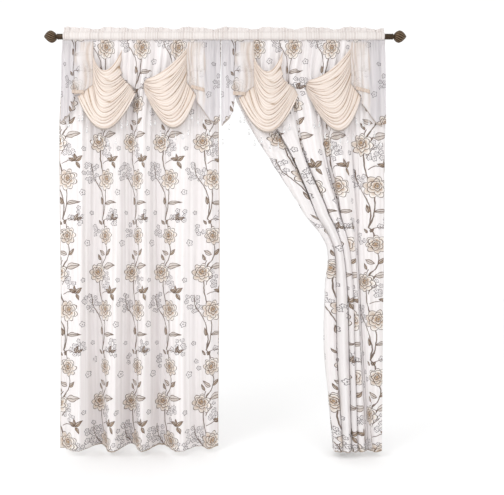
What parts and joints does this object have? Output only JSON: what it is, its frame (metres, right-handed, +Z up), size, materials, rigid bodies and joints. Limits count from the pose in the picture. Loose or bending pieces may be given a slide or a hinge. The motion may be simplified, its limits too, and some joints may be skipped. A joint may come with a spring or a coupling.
{
  "type": "curtains with valance on a rod",
  "caption": "Pair of printed rod pocket curtains with attached swag valances on a dark rod, one panel straight and one swept back to the side.",
  "frame": {"origin": "on the axis of the rod, midway between its two ends", "axes": "+X along the rod to the viewer's right, +Y into the wall, +Z up"},
  "size_m": [1.84, 0.1393, 2.1396],
  "materials": {
    "rod_bronze": "dark antique bronze, semi-gloss",
    "ivory_heading": "plain ivory satin",
    "printed_cloth": "white satin with a brown and beige floral print",
    "sheer_print": "semi-sheer white with the floral print",
    "cream_satin": "cream satin",
    "clear_bead": "clear polished"
  },
  "bodies": {
    "root": {"rod": "rod_bronze", "finial_left": "rod_bronze", "finial_right": "rod_bronze", "header_left": "ivory_heading", "header_right": "ivory_heading", "drop_left": "printed_cloth", "drop_right": "printed_cloth", "jabot_left_1": "sheer_print", "jabot_left_2": "sheer_print", "jabot_right_1": "sheer_print", "jabot_right_2": "sheer_print", "swag_left_1": "cream_satin", "swag_left_2": "cream_satin", "swag_right_1": "cream_satin", "swag_right_2": "cream_satin", "band_left_1": "cream_satin", "band_left_2": "cream_satin", "band_right_1": "cream_satin", "band_right_2": "cream_satin", "fringe_left_1": "clear_bead", "fringe_left_2": "clear_bead", "fringe_left_3": "clear_bead", "fringe_left_4": "clear_bead", "fringe_right_1": "clear_bead", "fringe_right_2": "clear_bead", "fringe_right_3": "clear_bead", "fringe_right_4": "clear_bead"}
  },
  "joints": []
}
